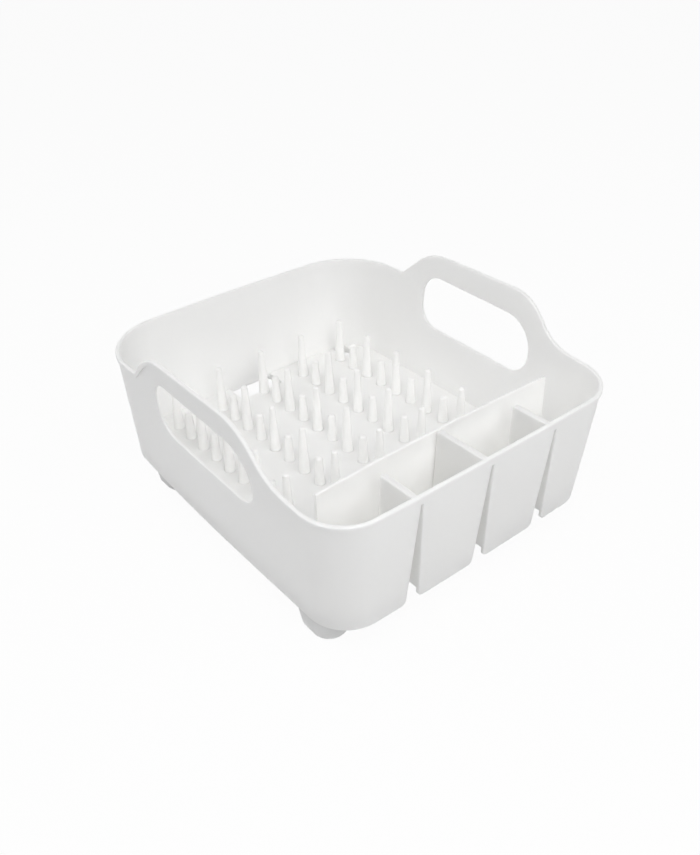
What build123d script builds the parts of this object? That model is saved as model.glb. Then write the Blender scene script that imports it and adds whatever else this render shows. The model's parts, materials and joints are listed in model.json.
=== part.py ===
from build123d import *
import math
import os

# Dish drying rack: a one-piece tub on four feet, with a lift-out mat of plate pegs
# and a lift-out cutlery divider.
# Millimetres. X runs along the cutlery wall, +Y to the back and +Z up.
# The origin is on the counter, under the middle of the tub.

# Tub walls
wall = 2.8
bottom_width = 292.0
bottom_depth = 339.8
side_draft = 0.078
end_draft = 0.088
side_bulge = 1.0
front_bulge = 1.8
back_bulge = 4.7
bottom_corner_radius = 37.0
front_corner_growth = 0.024
back_corner_growth = 0.22

# Heights above the skirt's bottom edge
skirt_height = 14.5
front_rim_height = 112.6
back_rim_height = 123.0
handle_foot_height = 118.5
handle_height = 156.4
wedge_height = 105.5
wedge_foot_height = 9.5
divider_height = 105.6

# Place along Y where the skirt's bottom edge starts to rise, up to the floor at the back
skirt_rise_start = -21.0

# Floor
floor_thickness = 3.0
floor_fillet = 0.8

# Rim and handles
lip_width = 1.0
lip_height = 4.0
handle_length = 129.1
handle_offset = -6.95
handle_front_run = 33.5
handle_back_run = 38.5
handle_front_radius = 45.0
handle_foot_radius = 45.0
handle_back_radius = 55.0
notch_radius = 6.0

# Hand holes
hole_length = 142.0
hole_height = 54.3
hole_bar = 24.2
hole_offset = -8.2
hole_tilt = 1.8
hole_radius = 22.0
hole_front_radius = 31.0

# Cutlery wedges
wedge_pitch = 72.3
wedge_wall = 2.0
wedge_top_width = 5.6
groove_bottom_width = 13.0
groove_corner_radius = 5.5
outer_wedge_depth = 34.9

# Cutlery divider and the ribs that hold its foot
divider_length = 251.0
divider_thickness = 3.0
divider_setback = 52.2
divider_bow = 2.9
divider_clearance = 0.4
rib_width = 2.0
rib_height = 6.0

# Peg mat
mat_thickness = 3.5
mat_clearance = 0.4
rest_gap = 0.3

# Pegs
column_pitch = 50.6
row_pitch = 46.3
back_row_setback = 30.9
side_margin = 30.0
front_margin = 50.0
tall_peg_height = 47.9
tall_peg_base = 10.5
tall_peg_tip = 5.8
tall_peg_round = 2.3
short_peg_height = 28.2
short_peg_base = 10.0
short_peg_tip = 6.5
short_peg_round = 2.6

# Drains, which run through the floor along the back wall
middle_drain_width = 50.0
corner_drain_width = 14.0
corner_drain_inset = 20.6
drain_setback = 2.5
drain_radius = 4.0
drain_land = 1.0
drain_lip = 1.0
drain_clearance = 0.3

# Rounded edges
rim_round = 1.2
hole_round = 1.0
wedge_round = 1.5
groove_round = 1.2
divider_round = 1.0
mat_round = 0.6

# Largest corner radius, as a share of the half width that it rounds
round_limit = 0.96

# Least upward part of a face's normal for the face to count as the top of the rim
rim_slope = 0.3

# Feet
foot_drop = 25.0
foot_width = 38.0
foot_length = 48.4
foot_taper = 4.0
foot_round = 7.4
front_foot_gap = 1.2
front_foot_setback = 44.5
front_neck_inset = 3.0
rear_foot_gap = 7.1
rear_foot_setback = 50.5
rear_neck_inset = 0.3
plug_radius = 10.0
plug_length = 6.0
plug_clearance = 0.1
socket_wall = 2.5

# Levels above the counter
skirt_level = foot_drop
floor_underside = skirt_level + skirt_height
floor_top = floor_underside + floor_thickness
handle_level = skirt_level + handle_height
wedge_level = skirt_level + wedge_height
mat_underside = floor_top + rest_gap
mat_top = mat_underside + mat_thickness

# Places along Y
front_edge = -bottom_depth / 2
back_edge = bottom_depth / 2
divider_y = front_edge + divider_setback
rib_offset = divider_thickness / 2 + divider_clearance + rib_width / 2
mat_front = divider_y + rib_offset + rib_width / 2 + mat_clearance
back_row = back_edge - back_row_setback

# How far cutting tools reach past what they cut
overrun = 10.0
tool_level = handle_level + overrun
tool_reach = bottom_depth

os.makedirs("parts", exist_ok=True)


def half_width(level: float) -> float:
    """Half of the tub's outer width at a height."""
    return bottom_width / 2 + side_draft * (level - skirt_level)


def half_depth(level: float) -> float:
    """Half of the tub's outer depth at a height."""
    return bottom_depth / 2 + end_draft * (level - skirt_level)


def tub_outline(level: float, inset: float) -> Sketch:
    """Plan of the tub's outer face at a height, moved inwards by inset."""
    rise = level - skirt_level
    middle_x = half_width(level) - inset
    middle_y = half_depth(level) - inset
    corner_x = middle_x - side_bulge
    front_y = middle_y - front_bulge
    back_y = middle_y - back_bulge
    radius = bottom_corner_radius - inset
    with BuildSketch(Plane.XY.offset(level)) as outline:
        with BuildLine():
            ThreePointArc((-corner_x, -front_y), (0, -middle_y), (corner_x, -front_y))
            ThreePointArc((corner_x, -front_y), (middle_x, 0), (corner_x, back_y))
            ThreePointArc((corner_x, back_y), (0, middle_y), (-corner_x, back_y))
            ThreePointArc((-corner_x, back_y), (-middle_x, 0), (-corner_x, -front_y))
        make_face()
        fillet(outline.vertices().group_by(Axis.Y)[0], radius + front_corner_growth * rise)
        fillet(outline.vertices().group_by(Axis.Y)[-1], radius + back_corner_growth * rise)
    return outline.sketch


def facing_front(x: float, y: float, z: float) -> Plane:
    """Upright plane that looks out of the tub's front, with X to its right."""
    return Plane((x, y, z), x_dir=(1, 0, 0), z_dir=(0, -1, 0))


def below_rim(drop: float) -> Sketch:
    """Side view of everything under the rim line, moved inwards by drop."""
    handle_front = handle_offset - handle_length / 2
    handle_back = handle_offset + handle_length / 2
    front_end = (-tool_reach, skirt_level + front_rim_height)
    back_end = (tool_reach, skirt_level + back_rim_height)
    rim_radii = [notch_radius, handle_foot_radius, handle_front_radius, handle_back_radius, notch_radius]
    with BuildSketch(Plane.YZ) as side:
        with BuildLine():
            FilletPolyline(
                front_end,
                (-half_depth(skirt_level + front_rim_height), skirt_level + front_rim_height),
                (handle_front - handle_front_run, skirt_level + handle_foot_height),
                (handle_front, handle_level),
                (handle_back, handle_level),
                (handle_back + handle_back_run, skirt_level + back_rim_height),
                back_end,
                radius=rim_radii,
            )
            Polyline(back_end, (tool_reach, 0), (-tool_reach, 0), front_end)
        make_face()
        if drop:
            offset(amount=-drop)
    return side.sketch


def bowed_strip(level: float, shift: float, width: float) -> Sketch:
    """Plan of a strip that follows the divider's bow, moved towards the back by shift."""
    end_x = divider_length / 2
    middle_y = divider_y + shift
    end_y = middle_y - divider_bow
    half = width / 2
    with BuildSketch(Plane.XY.offset(level)) as strip:
        with BuildLine():
            ThreePointArc((-end_x, end_y - half), (0, middle_y - half), (end_x, end_y - half))
            Line((end_x, end_y - half), (end_x, end_y + half))
            ThreePointArc((end_x, end_y + half), (0, middle_y + half), (-end_x, end_y + half))
            Line((-end_x, end_y + half), (-end_x, end_y - half))
        make_face()
    return strip.sketch


def drains(level: float, clearance: float) -> Sketch:
    """Plan of the three drains along the back wall, with a lobe left under the back row's middle peg."""
    front_y = back_row + drain_setback - clearance
    corner_x = half_width(floor_top) - wall - corner_drain_inset - corner_drain_width / 2
    with BuildSketch(Plane.XY.offset(level)) as plan:
        for drain_x, width in (
            (-corner_x, corner_drain_width),
            (0, middle_drain_width),
            (corner_x, corner_drain_width),
        ):
            with Locations((drain_x, front_y)):
                Rectangle(
                    width + 2 * clearance,
                    half_depth(floor_top) - front_y,
                    align=(Align.CENTER, Align.MIN),
                )
        fillet(plan.vertices().group_by(Axis.Y)[0], drain_radius)
        with Locations((0, back_row)):
            Circle(tall_peg_base / 2 + drain_land - clearance, mode=Mode.SUBTRACT)
        add(tub_outline(level, wall + floor_fillet), mode=Mode.INTERSECT)
    return plan.sketch


def foot_outline(place: tuple[float, float], level: float, inset: float) -> Sketch:
    """Plan of a foot at a height, moved inwards by inset."""
    with BuildSketch(Plane.XY.offset(level)) as plan:
        with Locations(place):
            SlotOverall(foot_length - 2 * inset, foot_width - 2 * inset, rotation=90)
    return plan.sketch


def border(faces: ShapeList) -> ShapeList:
    """Edges around a patch of faces, without the edges between two of them."""
    edges = [edge for face in faces for edge in face.edges()]
    return ShapeList(edge for edge in edges if sum(edge.is_same(other) for other in edges) == 1)


# Feet, oblong and narrower at the counter, each with a plug that sits in a socket under the tub's floor
foot_places = {}
neck_insets = {}
for end_name, foot_y, gap, neck_inset in (
    ("front", front_edge + front_foot_setback, front_foot_gap, front_neck_inset),
    ("rear", back_edge - rear_foot_setback, rear_foot_gap, rear_neck_inset),
):
    foot_x = half_width(skirt_level) - gap - foot_width / 2
    for side_name, side in (("left", -1), ("right", 1)):
        foot_places[f"foot_{end_name}_{side_name}"] = (side * foot_x, foot_y)
        neck_insets[f"foot_{end_name}_{side_name}"] = neck_inset

for foot_name, foot_place in foot_places.items():
    with BuildPart() as foot:
        loft([foot_outline(foot_place, 0, foot_taper), foot_outline(foot_place, skirt_level, 0)], ruled=True)
        fillet(foot.faces().sort_by(Axis.Z)[0].edges(), foot_round)
        neck = foot_outline(foot_place, skirt_level, neck_insets[foot_name])
        extrude(neck, amount=skirt_height - plug_length)
        with BuildSketch(Plane.XY.offset(floor_underside - plug_length)):
            with Locations(foot_place):
                Circle(plug_radius)
        extrude(amount=plug_length)
    foot.part.label = foot_name
    export_step(foot.part, f"parts/{foot_name}.step")

# The space inside the tub, with a rounded edge along the floor
with BuildPart() as inside:
    loft([tub_outline(floor_top, wall), tub_outline(tool_level, wall)], ruled=True)
    fillet(inside.faces().sort_by(Axis.Z)[0].edges(), floor_fillet)

# The space under the floor, inside the skirt
with BuildPart() as underside:
    loft([tub_outline(skirt_level, wall), tub_outline(floor_underside, wall)], ruled=True)

# The lip along the rim, solid until the tub is trimmed and hollowed
with BuildPart() as lip:
    loft([tub_outline(skirt_level, -lip_width), tub_outline(tool_level, -lip_width)], ruled=True)
    extrude(below_rim(lip_height), amount=tool_reach, both=True, mode=Mode.SUBTRACT)

# The wedges that part the cutlery cups, and the grooves that hollow them from the front
wedge_backs = {
    -wedge_pitch: front_edge + outer_wedge_depth,
    0: divider_y - rib_offset,
    wedge_pitch: front_edge + outer_wedge_depth,
}
groove_top_half = wedge_top_width / 2 - wedge_wall
groove_bottom_half = groove_bottom_width / 2


def on_groove_rim(edge: Edge) -> bool:
    """Whether an edge runs up the front wall beside a groove."""
    middle = edge.center()
    side = (groove_top_half + groove_bottom_half) / 2
    beside = any(abs(abs(middle.X - wedge_x) - side) < wedge_wall / 2 for wedge_x in wedge_backs)
    on_front = middle.Y < front_edge and middle.Z < wedge_level
    return beside and on_front and edge.length > wedge_height / 2


with BuildPart() as wedges:
    for wedge_x, back_y in wedge_backs.items():
        with BuildSketch(facing_front(wedge_x, back_y, skirt_level)):
            with BuildLine():
                Polyline(
                    (-groove_bottom_half - wedge_wall, 0),
                    (groove_bottom_half + wedge_wall, 0),
                    (wedge_top_width / 2, wedge_height),
                    (-wedge_top_width / 2, wedge_height),
                    close=True,
                )
            make_face()
        extrude(amount=tool_reach)
    inside_wall = [tub_outline(skirt_level, wall / 2), tub_outline(tool_level, wall / 2)]
    loft(inside_wall, ruled=True, mode=Mode.INTERSECT)
    with BuildSketch(Plane.XY.offset(skirt_level)):
        Rectangle(2 * tool_reach, 2 * tool_reach)
    extrude(amount=wedge_foot_height, mode=Mode.SUBTRACT)

with BuildPart() as grooves:
    for wedge_x, back_y in wedge_backs.items():
        with BuildSketch(facing_front(wedge_x, back_y - wedge_wall, skirt_level)) as groove:
            with BuildLine():
                flare = groove_bottom_half + 2 * groove_corner_radius
                Polyline(
                    (-flare, -overrun),
                    (flare, -overrun),
                    (flare, 0),
                    (groove_bottom_half, 0),
                    (groove_top_half, wedge_height - wedge_wall),
                    (-groove_top_half, wedge_height - wedge_wall),
                    (-groove_bottom_half, 0),
                    (-flare, 0),
                    close=True,
                )
            make_face()
            inner_corners = groove.vertices().group_by(Axis.Y)[1].sort_by(Axis.X)[1:3]
            fillet(inner_corners, groove_corner_radius)
        extrude(amount=tool_reach)

# Tub
with BuildPart() as tub:
    loft([tub_outline(skirt_level, 0), tub_outline(tool_level, 0)], ruled=True)
    add(lip.part)
    extrude(below_rim(0), amount=tool_reach, both=True, mode=Mode.INTERSECT)
    add(inside.part, mode=Mode.SUBTRACT)
    add(underside.part, mode=Mode.SUBTRACT)

    # Bottom edge of the skirt, which rises to the back
    with BuildSketch(Plane.YZ):
        with BuildLine():
            rise_start = (skirt_rise_start, skirt_level)
            rise_end = (half_depth(skirt_level) + overrun, floor_underside)
            TangentArc(rise_start, rise_end, tangent=(1, 0))
            Polyline(rise_end, (rise_end[0], 0), (skirt_rise_start, 0), rise_start)
        make_face()
    extrude(amount=tool_reach, both=True, mode=Mode.SUBTRACT)

    # Cutlery wedges and their grooves
    add(wedges.part)
    add(grooves.part, mode=Mode.SUBTRACT)

    # Ribs on the floor that hold the divider's foot
    for side in (-1, 1):
        rib = bowed_strip(floor_underside + floor_thickness / 2, side * rib_offset, rib_width)
        extrude(rib, amount=floor_thickness / 2 + rib_height)

    # Sockets for the feet
    with BuildSketch(Plane.XY.offset(floor_underside)):
        with Locations(*foot_places.values()):
            Circle(plug_radius + plug_clearance + socket_wall)
            Circle(plug_radius + plug_clearance, mode=Mode.SUBTRACT)
    extrude(amount=-plug_length)

    # Hand holes, tilted a little with the handles
    hole_level = handle_level - hole_bar - hole_height / 2
    hole_run = (0, math.cos(math.radians(hole_tilt)), math.sin(math.radians(hole_tilt)))
    with BuildSketch(Plane((0, hole_offset, hole_level), x_dir=hole_run, z_dir=(1, 0, 0))) as hole:
        Rectangle(hole_length, hole_height)
        fillet(hole.vertices().group_by(Axis.X)[-1], hole_radius)
        fillet(hole.vertices().group_by(Axis.Y)[0].sort_by(Axis.X)[0], hole_radius)
        fillet(hole.vertices().group_by(Axis.Y)[-1].sort_by(Axis.X)[0], hole_front_radius)
    extrude(amount=tool_reach, both=True, mode=Mode.SUBTRACT)

    # Drains, of which the middle one also runs out under the foot of the back wall
    extrude(drains(floor_underside, 0), amount=floor_thickness, mode=Mode.SUBTRACT)
    with BuildSketch(Plane.XY.offset(floor_top - drain_lip)):
        with Locations((0, half_depth(floor_top))):
            Rectangle(middle_drain_width, 4 * wall)
    extrude(amount=-skirt_height, mode=Mode.SUBTRACT)

    # Rounded rim, hole edges, wedge tops and groove edges
    rim_tops = tub.faces().filter_by(
        lambda face: face.center().Z > wedge_level + rim_round and face.normal_at(face.center()).Z > rim_slope
    )
    fillet(border(rim_tops), rim_round)
    hole_faces = tub.faces().filter_by(
        lambda face: abs(face.center().X) > half_width(skirt_level)
        and abs(face.center().Y - hole_offset) <= hole_length / 2 + hole_round
        and abs(face.center().Z - hole_level) <= hole_height / 2 + hole_round
        and face.bounding_box().size.X < 3 * wall
    )
    fillet(border(hole_faces), hole_round)
    fillet(tub.edges().filter_by(on_groove_rim), groove_round)
    wedge_tops = tub.faces().filter_by_position(Axis.Z, wedge_level, wedge_level)
    fillet(wedge_tops.edges().filter_by(lambda edge: edge.center().Y > front_edge), wedge_round)
tub.part.label = "tub"
export_step(tub.part, "parts/tub.step")

# Peg mat, resting on the tub's floor behind the divider
with BuildPart() as peg_mat:
    with BuildSketch(Plane.XY.offset(mat_underside)):
        add(tub_outline(floor_top, wall + floor_fillet + mat_clearance))
        with Locations((0, mat_front)):
            Rectangle(2 * tool_reach, tool_reach, align=(Align.CENTER, Align.MAX), mode=Mode.SUBTRACT)
    extrude(amount=mat_thickness)
    extrude(drains(mat_underside, drain_clearance), amount=mat_thickness, mode=Mode.SUBTRACT)
    fillet(peg_mat.faces().sort_by(Axis.Z)[-1].edges(), mat_round)
peg_mat.part.label = "peg_mat"
export_step(peg_mat.part, "parts/peg_mat.step")

# Rows of pegs, numbered from the front
column_reach = int((half_width(mat_top) - wall - side_margin) / column_pitch)
columns = [column * column_pitch for column in range(-column_reach, column_reach + 1)]
row_count = int((back_row - mat_front - front_margin) / row_pitch) + 1
tall_rows = [back_row - row_pitch * step for step in reversed(range(row_count))]
short_rows = [row_y + row_pitch / 2 for row_y in tall_rows[:-1]]

for kind, rows, height, base, tip, tip_round in (
    ("tall", tall_rows, tall_peg_height, tall_peg_base, tall_peg_tip, tall_peg_round),
    ("short", short_rows, short_peg_height, short_peg_base, short_peg_tip, short_peg_round),
):
    taper = math.degrees(math.atan((base - tip) / 2 / height))
    for number, row_y in enumerate(rows, start=1):
        with BuildPart() as pegs:
            with BuildSketch(Plane.XY.offset(mat_top)):
                with Locations(*[(column_x, row_y) for column_x in columns]):
                    Circle(base / 2)
            extrude(amount=height, taper=taper)
            fillet(pegs.edges().group_by(Axis.Z)[-1], min(tip_round, round_limit * tip / 2))
        pegs.part.label = f"{kind}_pegs_row_{number}"
        export_step(pegs.part, f"parts/{kind}_pegs_row_{number}.step")

# Cutlery divider, standing between the two ribs
with BuildPart() as cutlery_divider:
    divider_foot = floor_top + rest_gap
    divider_plan = bowed_strip(divider_foot, 0, divider_thickness)
    extrude(divider_plan, amount=skirt_level + divider_height - divider_foot)
    fillet(cutlery_divider.edges().group_by(Axis.Z)[-1], divider_round)
cutlery_divider.part.label = "cutlery_divider"
export_step(cutlery_divider.part, "parts/cutlery_divider.step")
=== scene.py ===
"""Dish drying rack: camera, studio light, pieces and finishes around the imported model."""

import json
import logging
import math
from dataclasses import dataclass
from enum import Enum

import bpy
from mathutils import Matrix, Vector

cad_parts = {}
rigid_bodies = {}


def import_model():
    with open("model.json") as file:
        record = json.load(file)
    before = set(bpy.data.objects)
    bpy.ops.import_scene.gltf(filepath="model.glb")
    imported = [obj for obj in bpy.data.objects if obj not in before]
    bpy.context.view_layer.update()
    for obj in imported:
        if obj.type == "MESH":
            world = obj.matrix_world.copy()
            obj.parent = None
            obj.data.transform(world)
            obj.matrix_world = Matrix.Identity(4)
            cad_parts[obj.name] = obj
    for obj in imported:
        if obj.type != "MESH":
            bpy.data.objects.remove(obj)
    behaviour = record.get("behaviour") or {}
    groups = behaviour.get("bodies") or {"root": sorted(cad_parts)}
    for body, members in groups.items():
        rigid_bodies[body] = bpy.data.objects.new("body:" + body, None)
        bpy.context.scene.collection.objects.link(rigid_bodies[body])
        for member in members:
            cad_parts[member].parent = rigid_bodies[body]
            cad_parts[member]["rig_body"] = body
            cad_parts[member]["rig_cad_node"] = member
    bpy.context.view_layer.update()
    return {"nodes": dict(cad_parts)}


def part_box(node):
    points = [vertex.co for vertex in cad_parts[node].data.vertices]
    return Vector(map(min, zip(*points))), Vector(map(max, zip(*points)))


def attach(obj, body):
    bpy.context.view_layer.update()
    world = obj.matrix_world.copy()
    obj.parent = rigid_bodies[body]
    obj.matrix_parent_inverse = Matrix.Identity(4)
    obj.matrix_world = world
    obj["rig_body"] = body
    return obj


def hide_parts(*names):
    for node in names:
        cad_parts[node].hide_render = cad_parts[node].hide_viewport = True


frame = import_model()

log = logging.getLogger("dish_rack")

# Size of the photograph, in pixels
PHOTO_WIDTH = 700
PHOTO_HEIGHT = 855

# Colours, linear RGB
WHITE = (0.95, 0.948, 0.938)
SHADED_WHITE = (0.935, 0.933, 0.922)
FOOT_WHITE = (0.80, 0.80, 0.80)
SHADED_FOOT_WHITE = (0.78, 0.78, 0.78)
PLAIN_WHITE = (1.0, 1.0, 1.0)
OPAQUE = 1.0

# Points of a mesh that are closer than this, in metres, are one point
MERGE_DISTANCE = 0.00001

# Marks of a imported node, which a copy of it doesn't keep
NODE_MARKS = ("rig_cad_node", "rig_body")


class Body(Enum):
    """The rigid bodies that pieces ride on."""

    TUB = "tub_body"
    MAT = "mat_body"
    DIVIDER = "divider_body"


class Slot(Enum):
    """The record's material slots."""

    TUB = "tub_plastic"
    FOOT = "foot_plastic"
    MAT = "mat_plastic"
    DIVIDER = "divider_plastic"


@dataclass(frozen=True)
class PlasticFinish:
    """White moulded plastic with a faint mould grain and a soft inner glow.

    Attributes:
        name: Name of the material.
        colour: Main colour, linear RGB.
        tint: Second colour that the main one drifts to in broad patches.
        roughness: Mean roughness.
        roughness_spread: How far the roughness drifts from its mean.
        refraction: Index of refraction of the plastic.
        glow: Weight of light scattered under the surface.
        glow_depth: How far that light travels, in metres.
        glow_balance: Share of that depth for red, green and blue.
        patch_scale: Patches of drifting colour in a metre.
        patch_detail: Levels of detail in those patches.
        grain_size: Size of the mould grain, in metres.
        grain_depth: Depth of the mould grain, in metres.
        grain_detail: Levels of detail in the grain.
        grain_strength: Share of the grain's depth that shows.
    """

    name: str
    colour: tuple[float, float, float] = WHITE
    tint: tuple[float, float, float] = SHADED_WHITE
    roughness: float = 0.42
    roughness_spread: float = 0.06
    refraction: float = 1.49
    glow: float = 0.8
    glow_depth: float = 0.006
    glow_balance: tuple[float, float, float] = (1.0, 1.0, 1.0)
    patch_scale: float = 7.0
    patch_detail: float = 3.0
    grain_size: float = 0.0012
    grain_depth: float = 0.00002
    grain_detail: float = 2.0
    grain_strength: float = 0.4

    def material(self) -> bpy.types.Material:
        """Builds the finish as a node material.

        Returns:
            The new material.
        """
        made = bpy.data.materials.new(self.name)
        made.use_nodes = True
        nodes = made.node_tree.nodes
        links = made.node_tree.links
        shader = nodes["Principled BSDF"]
        shader.inputs["Subsurface Weight"].default_value = self.glow
        shader.inputs["Subsurface Radius"].default_value = self.glow_balance
        shader.inputs["Subsurface Scale"].default_value = self.glow_depth
        shader.inputs["IOR"].default_value = self.refraction
        place = nodes.new("ShaderNodeTexCoord")

        patches = nodes.new("ShaderNodeTexNoise")
        patches.inputs["Scale"].default_value = self.patch_scale
        patches.inputs["Detail"].default_value = self.patch_detail
        links.new(place.outputs["Object"], patches.inputs["Vector"])

        colour = nodes.new("ShaderNodeMix")
        colour.data_type = "RGBA"
        colour.inputs["A"].default_value = (*self.colour, OPAQUE)
        colour.inputs["B"].default_value = (*self.tint, OPAQUE)
        links.new(patches.outputs["Fac"], colour.inputs["Factor"])
        links.new(colour.outputs["Result"], shader.inputs["Base Color"])

        polish = nodes.new("ShaderNodeMapRange")
        polish.inputs["To Min"].default_value = self.roughness - self.roughness_spread
        polish.inputs["To Max"].default_value = self.roughness + self.roughness_spread
        links.new(patches.outputs["Fac"], polish.inputs["Value"])
        links.new(polish.outputs["Result"], shader.inputs["Roughness"])

        grain = nodes.new("ShaderNodeTexNoise")
        grain.inputs["Scale"].default_value = 1.0 / self.grain_size
        grain.inputs["Detail"].default_value = self.grain_detail
        links.new(place.outputs["Object"], grain.inputs["Vector"])
        bump = nodes.new("ShaderNodeBump")
        bump.inputs["Strength"].default_value = self.grain_strength
        bump.inputs["Distance"].default_value = self.grain_depth
        links.new(grain.outputs["Fac"], bump.inputs["Height"])
        links.new(bump.outputs["Normal"], shader.inputs["Normal"])
        return made


TUB_FINISH = PlasticFinish("tub_white")
MAT_FINISH = PlasticFinish("mat_white", glow=0.5, glow_depth=0.003)
DIVIDER_FINISH = PlasticFinish("divider_white")
FOOT_FINISH = PlasticFinish("foot_white", FOOT_WHITE, SHADED_FOOT_WHITE, roughness=0.5)


def deselect_all() -> None:
    """Clears the selection, so that an operator acts on one piece only."""
    bpy.ops.object.select_all(action="DESELECT")


def make_active(piece: bpy.types.Object) -> None:
    """Selects one piece alone and makes it the active one.

    Args:
        piece: The piece that the next operators act on.
    """
    deselect_all()
    piece.select_set(True)
    bpy.context.view_layer.objects.active = piece


def merged_copy(node: str, name: str, smooth_angle: float) -> bpy.types.Object:
    """Copies a node's mesh, merges its loose triangles and shades it smooth.

    Args:
        node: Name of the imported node.
        name: Name of the new piece.
        smooth_angle: Largest angle, in degrees, that is shaded as a curve.

    Returns:
        The new piece, at the origin and in the node's place.
    """
    make_active(frame["nodes"][node])
    bpy.ops.object.duplicate()
    piece = bpy.context.view_layer.objects.active
    piece.name = name
    piece.data.name = name
    for mark in NODE_MARKS:
        del piece[mark]
    bpy.ops.mesh.customdata_custom_splitnormals_clear()
    bpy.ops.object.mode_set(mode="EDIT")
    bpy.ops.mesh.select_all(action="SELECT")
    bpy.ops.mesh.remove_doubles(threshold=MERGE_DISTANCE)
    bpy.ops.object.mode_set(mode="OBJECT")
    bpy.ops.object.shade_smooth_by_angle(angle=math.radians(smooth_angle))
    return piece


def dress(piece: bpy.types.Object, material: bpy.types.Material, body: Body) -> None:
    """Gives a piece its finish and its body.

    Args:
        piece: The finished piece.
        material: The finish.
        body: The body that it rides on.
    """
    piece.data.materials.clear()
    piece.data.materials.append(material)
    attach(piece, body.value)
    log.info("piece %s: %d faces, rides on %s", piece.name, len(piece.data.polygons), body.value)


def smooth_moulding(
    node: str,
    material: bpy.types.Material,
    body: Body,
    smooth_angle: float,
) -> None:
    """Stands a merged, smooth piece in the place of a node whose shape is right.

    Args:
        node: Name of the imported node.
        material: The finish.
        body: The body that it rides on.
        smooth_angle: Largest angle, in degrees, that is shaded as a curve.
    """
    piece = merged_copy(node, f"{node}_moulding", smooth_angle)
    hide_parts(node)
    dress(piece, material, body)


@dataclass
class Tub:
    """The tub and the four feet that are plugged into it.

    Attributes:
        wall_angle: Largest angle shaded as a curve on the tub, in degrees.
        foot_angle: Largest angle shaded as a curve on a foot, in degrees.
        feet: Names of the feet.
    """

    wall_angle: float = 38.0
    foot_angle: float = 45.0
    feet: tuple[str, ...] = ("foot_front_left", "foot_front_right", "foot_rear_left", "foot_rear_right")

    def build(self) -> None:
        """Builds and dresses the tub and its feet."""
        smooth_moulding("tub", TUB_FINISH.material(), Body.TUB, self.wall_angle)
        foot_white = FOOT_FINISH.material()
        for foot in self.feet:
            smooth_moulding(foot, foot_white, Body.TUB, self.foot_angle)


@dataclass
class CutleryDivider:
    """The bowed plate that closes the cutlery cups at the back.

    Attributes:
        edge_angle: Largest angle shaded as a curve, in degrees.
    """

    edge_angle: float = 38.0

    def build(self) -> None:
        """Builds and dresses the divider."""
        divider_white = DIVIDER_FINISH.material()
        smooth_moulding("cutlery_divider", divider_white, Body.DIVIDER, self.edge_angle)


@dataclass(frozen=True)
class PegShape:
    """One kind of peg: a foot that runs out into the mat, a taper and a round tip.

    Attributes:
        foot_radius: Radius where the taper meets the mat, in metres.
        tip_radius: Radius that the taper would have at the top.
        height: Height over the mat.
        tip_round: Radius of the rounded top edge.
        flare: Radius of the hollow where the foot runs out into the mat.
        sink: How far the foot goes into the mat.
        sides: Number of sides of each ring.
        arc_steps: Number of steps in each rounding.
    """

    foot_radius: float
    tip_radius: float
    height: float
    tip_round: float
    flare: float = 0.0006
    sink: float = 0.0004
    sides: int = 40
    arc_steps: int = 5

    def taper_radius(self, level: float) -> float:
        """Gives the radius of the taper at a height over the mat."""
        return self.foot_radius + (self.tip_radius - self.foot_radius) * level / self.height

    def rings(self) -> list[tuple[float, float]]:
        """Works out the rings of the peg from its foot to its tip.

        Returns:
            Pairs of the height over the mat and the radius.
        """
        outside = self.foot_radius + self.flare
        shoulder = self.height - self.tip_round
        middle = self.taper_radius(shoulder) - self.tip_round
        foot = []
        tip = []
        for step in range(self.arc_steps + 1):
            turn = math.pi / 2 * step / self.arc_steps
            across, along = math.cos(turn), math.sin(turn)
            foot.append((self.flare * (1.0 - across), outside - self.flare * along))
            tip.append((shoulder + self.tip_round * along, middle + self.tip_round * across))
        return [(-self.sink, outside)] + foot + tip

    def build(self, name: str, place: Vector) -> bpy.types.Object:
        """Models the peg by drawing a disc up through its rings.

        Args:
            name: Name of the new peg.
            place: Middle of its foot on the mat.

        Returns:
            The peg.
        """
        rings = self.rings()
        level, radius = rings[0]
        deselect_all()
        bpy.ops.mesh.primitive_circle_add(
            vertices=self.sides,
            radius=radius,
            fill_type="NGON",
            location=place + Vector((0.0, 0.0, level)),
        )
        peg = bpy.context.object
        peg.name = name
        bpy.ops.object.mode_set(mode="EDIT")
        bpy.ops.mesh.select_all(action="SELECT")
        for next_level, next_radius in rings[1:]:
            rise = (0.0, 0.0, next_level - level)
            scale = next_radius / radius
            bpy.ops.mesh.extrude_region_move(TRANSFORM_OT_translate={"value": rise})
            bpy.ops.transform.resize(value=(scale, scale, 1.0), center_override=place)
            level, radius = next_level, next_radius
        bpy.ops.mesh.select_all(action="SELECT")
        bpy.ops.mesh.normals_make_consistent(inside=False)
        bpy.ops.object.mode_set(mode="OBJECT")
        return peg


TALL_PEG = PegShape(foot_radius=0.00525, tip_radius=0.0029, height=0.0479, tip_round=0.0023)
SHORT_PEG = PegShape(foot_radius=0.0050, tip_radius=0.00325, height=0.0282, tip_round=0.0026)


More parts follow.
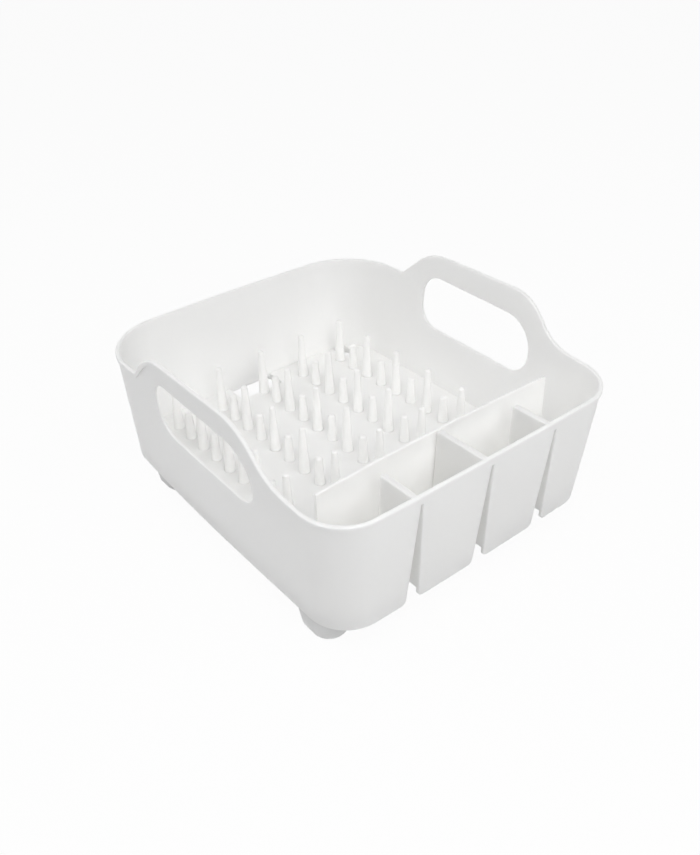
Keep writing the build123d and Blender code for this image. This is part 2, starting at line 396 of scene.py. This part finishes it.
@dataclass
class PegMat:
    """The lift-out mat with its rows of tall and short pegs.

    Attributes:
        tall: Shape of the tall pegs.
        short: Shape of the short pegs.
        columns: Number of pegs in a row.
        edge_angle: Largest angle shaded as a curve, in degrees.
    """

    tall: PegShape = TALL_PEG
    short: PegShape = SHORT_PEG
    columns: int = 5
    edge_angle: float = 38.0

    def build_row(self, node: str, shape: PegShape, material: bpy.types.Material) -> None:
        """Models the first peg of a row, copies it along the row and dresses the row.

        Args:
            node: Name of the row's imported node.
            shape: Shape of its pegs.
            material: The finish.
        """
        low, high = (Vector(corner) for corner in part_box(node))
        row_y = (low.y + high.y) / 2.0
        first_x = low.x + shape.foot_radius
        pitch = (high.x - low.x - 2.0 * shape.foot_radius) / (self.columns - 1)
        row = shape.build(f"{node}_moulding", Vector((first_x, row_y, low.z)))
        pegs = [row]
        for column in range(1, self.columns):
            make_active(row)
            along = (pitch * column, 0.0, 0.0)
            bpy.ops.object.duplicate_move(TRANSFORM_OT_translate={"value": along})
            pegs.append(bpy.context.object)
        make_active(row)
        for peg in pegs:
            peg.select_set(True)
        bpy.ops.object.join()
        bpy.ops.object.transform_apply(location=True, rotation=True, scale=True)
        bpy.ops.object.shade_smooth_by_angle(angle=math.radians(self.edge_angle))
        row.data.name = row.name
        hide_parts(node)
        dress(row, material, Body.MAT)

    def build(self) -> None:
        """Builds and dresses the mat and every row of pegs."""
        mat_white = MAT_FINISH.material()
        smooth_moulding("peg_mat", mat_white, Body.MAT, self.edge_angle)
        for node in sorted(frame["nodes"]):
            if node.startswith("tall_pegs_row_"):
                self.build_row(node, self.tall, mat_white)
            elif node.startswith("short_pegs_row_"):
                self.build_row(node, self.short, mat_white)


@dataclass
class PhotoCamera:
    """The camera that took the photograph, in the object's frame.

    Attributes:
        azimuth: Direction that it looks from, in degrees round the object.
        elevation: Height above the horizon, in degrees.
        roll: Turn about the line of sight, in degrees.
        eye: Place of the lens, in metres.
        focal_pixels: Focal length, in pixels of the photograph.
        centre_x: Column that the line of sight passes through.
        centre_y: Row that the line of sight passes through.
        sensor: Long side of the sensor, in millimetres.
        near_limit: Nearest distance that it shows, in metres.
    """

    azimuth: float = -37.464
    elevation: float = 34.281
    roll: float = -2.107
    eye: tuple[float, float, float] = (-0.41343, -0.53322, 0.52778)
    focal_pixels: float = 879.614
    centre_x: float = 343.184
    centre_y: float = 430.79
    sensor: float = 36.0
    near_limit: float = 0.01

    def axes(self) -> Matrix:
        """Works out the camera's right, up and back directions.

        Returns:
            A rotation whose columns are those directions.
        """
        around = math.radians(self.azimuth)
        above = math.radians(self.elevation)
        turn = math.radians(self.roll)
        away = math.cos(above)
        back = Vector((math.sin(around) * away, -math.cos(around) * away, math.sin(above)))
        level = Vector((math.cos(around), math.sin(around), 0.0))
        upright = back.cross(level)
        right = math.cos(turn) * level + math.sin(turn) * upright
        up = math.cos(turn) * upright - math.sin(turn) * level
        return Matrix((right, up, back)).transposed()

    def build(self) -> None:
        """Adds the camera and makes it the scene's."""
        deselect_all()
        bpy.ops.object.camera_add(location=self.eye)
        camera = bpy.context.object
        camera.name = "photo_camera"
        camera.rotation_mode = "QUATERNION"
        camera.rotation_quaternion = self.axes().to_quaternion()
        long_side = max(PHOTO_WIDTH, PHOTO_HEIGHT)
        camera.data.sensor_width = self.sensor
        camera.data.lens = self.focal_pixels / long_side * self.sensor
        camera.data.shift_x = (PHOTO_WIDTH / 2 - self.centre_x) / long_side
        camera.data.shift_y = (self.centre_y - PHOTO_HEIGHT / 2) / long_side
        camera.data.clip_start = self.near_limit
        bpy.context.scene.camera = camera


@dataclass(frozen=True)
class SoftLight:
    """One square soft box.

    Attributes:
        name: Name of the lamp.
        place: Where it stands, in metres.
        power: Power, in watts.
        aim: The point that it faces.
        size: Side of the square, in metres.
    """

    name: str
    place: tuple[float, float, float]
    power: float
    aim: tuple[float, float, float] = (0.0, 0.0, 0.08)
    size: float = 0.8

    def build(self) -> None:
        """Adds the lamp and turns it to what it lights."""
        deselect_all()
        bpy.ops.object.light_add(type="AREA", location=self.place)
        lamp = bpy.context.object
        lamp.name = self.name
        lamp.data.shape = "SQUARE"
        lamp.data.size = self.size
        lamp.data.energy = self.power
        away = Vector(self.place) - Vector(self.aim)
        lamp.rotation_mode = "QUATERNION"
        lamp.rotation_quaternion = away.to_track_quat("Z", "Y")


@dataclass(frozen=True)
class RoomSide:
    """One side of the room, brightest in its middle.

    Attributes:
        towards: Direction of its middle, of length 1.
        strength: Light from its middle.
    """

    towards: tuple[float, float, float]
    strength: float

    def light(self, tree: bpy.types.NodeTree) -> bpy.types.NodeSocket:
        """Adds nodes that give this side's light from each direction.

        Args:
            tree: The node tree of the world.

        Returns:
            A socket with the strength of that light.
        """
        direction = tree.nodes.new("ShaderNodeTexCoord")
        facing = tree.nodes.new("ShaderNodeVectorMath")
        facing.operation = "DOT_PRODUCT"
        facing.inputs[1].default_value = self.towards
        tree.links.new(direction.outputs["Generated"], facing.inputs[0])
        share = tree.nodes.new("ShaderNodeMapRange")
        share.inputs["To Max"].default_value = self.strength
        tree.links.new(facing.outputs["Value"], share.inputs["Value"])
        return share.outputs["Result"]


@dataclass
class Studio:
    """White floor, white surroundings and soft boxes.

    Attributes:
        floor_side: Side of the floor, in metres.
        floor_drop: How far the floor lies under the feet, in metres.
        floor_colour: Colour that the floor reflects.
        floor_roughness: Roughness of the floor.
        floor_gloss: Strength of the floor's reflections.
        floor_white: Share of plain white in what the camera sees of the floor.
        bounces: How often light is followed from wall to wall of the white tub.
        back_side: Side of the room behind the tub.
        right_side: Side of the room to the right of the tub.
        lights: The soft boxes.
    """

    floor_side: float = 14.0
    floor_drop: float = 0.0003
    floor_colour: tuple[float, float, float] = (0.8, 0.8, 0.8)
    floor_roughness: float = 0.9
    floor_gloss: float = 0.0
    floor_white: float = 0.95
    bounces: int = 16
    back_side: RoomSide = RoomSide((0.0, 1.0, 0.0), 0.97)
    right_side: RoomSide = RoomSide((1.0, 0.0, 0.0), 0.16)
    lights: tuple[SoftLight, ...] = (
        SoftLight("key_front", (-0.351, -1.311, 1.103), 9.6),
        SoftLight("high_left", (-0.736, -0.425, 1.552), 7.7),
        SoftLight("fill_right", (0.546, -0.946, 1.382), 6.0),
        SoftLight("fill_left", (-1.302, 0.0, 1.173), 0.8),
        SoftLight("back_left", (-1.067, 0.895, 1.055), 3.0),
    )

    def white_to_camera(self, tree: bpy.types.NodeTree) -> bpy.types.NodeSocket:
        """Adds nodes that tell what the camera sees, straight or by reflection.

        Args:
            tree: The node tree of a material or of the world.

        Returns:
            A socket that is 1 for such rays and 0 for light.
        """
        path = tree.nodes.new("ShaderNodeLightPath")
        mirrored = tree.nodes.new("ShaderNodeMath")
        mirrored.operation = "MAXIMUM"
        tree.links.new(path.outputs["Is Camera Ray"], mirrored.inputs[0])
        tree.links.new(path.outputs["Is Glossy Ray"], mirrored.inputs[1])
        seen = tree.nodes.new("ShaderNodeMath")
        seen.operation = "MAXIMUM"
        tree.links.new(mirrored.outputs[0], seen.inputs[0])
        tree.links.new(path.outputs["Is Transmission Ray"], seen.inputs[1])
        return seen.outputs[0]

    def build_world(self) -> None:
        """Makes the surroundings white to the camera and softer as light."""
        world = bpy.data.worlds.new("white_room")
        bpy.context.scene.world = world
        world.use_nodes = True
        tree = world.node_tree
        background = tree.nodes["Background"]
        background.inputs["Color"].default_value = (*PLAIN_WHITE, OPAQUE)
        room_light = tree.nodes.new("ShaderNodeMath")
        tree.links.new(self.back_side.light(tree), room_light.inputs[0])
        tree.links.new(self.right_side.light(tree), room_light.inputs[1])
        strength = tree.nodes.new("ShaderNodeMapRange")
        tree.links.new(room_light.outputs[0], strength.inputs["To Min"])
        tree.links.new(self.white_to_camera(tree), strength.inputs["Value"])
        tree.links.new(strength.outputs["Result"], background.inputs["Strength"])

    def floor_material(self) -> bpy.types.Material:
        """Builds the floor's finish, nearly plain white to the camera.

        Returns:
            The new material.
        """
        made = bpy.data.materials.new("white_floor")
        made.use_nodes = True
        tree = made.node_tree
        shader = tree.nodes["Principled BSDF"]
        shader.inputs["Base Color"].default_value = (*self.floor_colour, OPAQUE)
        shader.inputs["Roughness"].default_value = self.floor_roughness
        shader.inputs["Specular IOR Level"].default_value = self.floor_gloss
        white = tree.nodes.new("ShaderNodeEmission")
        white.inputs["Color"].default_value = (*PLAIN_WHITE, OPAQUE)
        share = tree.nodes.new("ShaderNodeMath")
        share.operation = "MULTIPLY"
        share.inputs[1].default_value = self.floor_white
        tree.links.new(self.white_to_camera(tree), share.inputs[0])
        blend = tree.nodes.new("ShaderNodeMixShader")
        tree.links.new(share.outputs[0], blend.inputs["Fac"])
        tree.links.new(shader.outputs["BSDF"], blend.inputs[1])
        tree.links.new(white.outputs["Emission"], blend.inputs[2])
        tree.links.new(blend.outputs["Shader"], tree.nodes["Material Output"].inputs["Surface"])
        return made

    def build_floor(self) -> None:
        """Adds the floor, which keeps a soft shadow."""
        deselect_all()
        bpy.ops.mesh.primitive_plane_add(size=self.floor_side, location=(0.0, 0.0, -self.floor_drop))
        floor = bpy.context.object
        floor.name = "floor"
        floor.data.materials.append(self.floor_material())

    def build(self) -> None:
        """Builds the floor, the surroundings and the lamps."""
        scene = bpy.context.scene
        scene.view_settings.view_transform = "Standard"
        scene.cycles.max_bounces = self.bounces
        scene.cycles.diffuse_bounces = self.bounces
        self.build_world()
        self.build_floor()
        for light in self.lights:
            light.build()


def main() -> None:
    """Builds the camera, the studio and every piece."""
    logging.basicConfig(level=logging.INFO, format="%(name)s: %(message)s")
    PhotoCamera().build()
    Studio().build()
    Tub().build()
    PegMat().build()
    CutleryDivider().build()


if __name__ == "__main__":
    main()
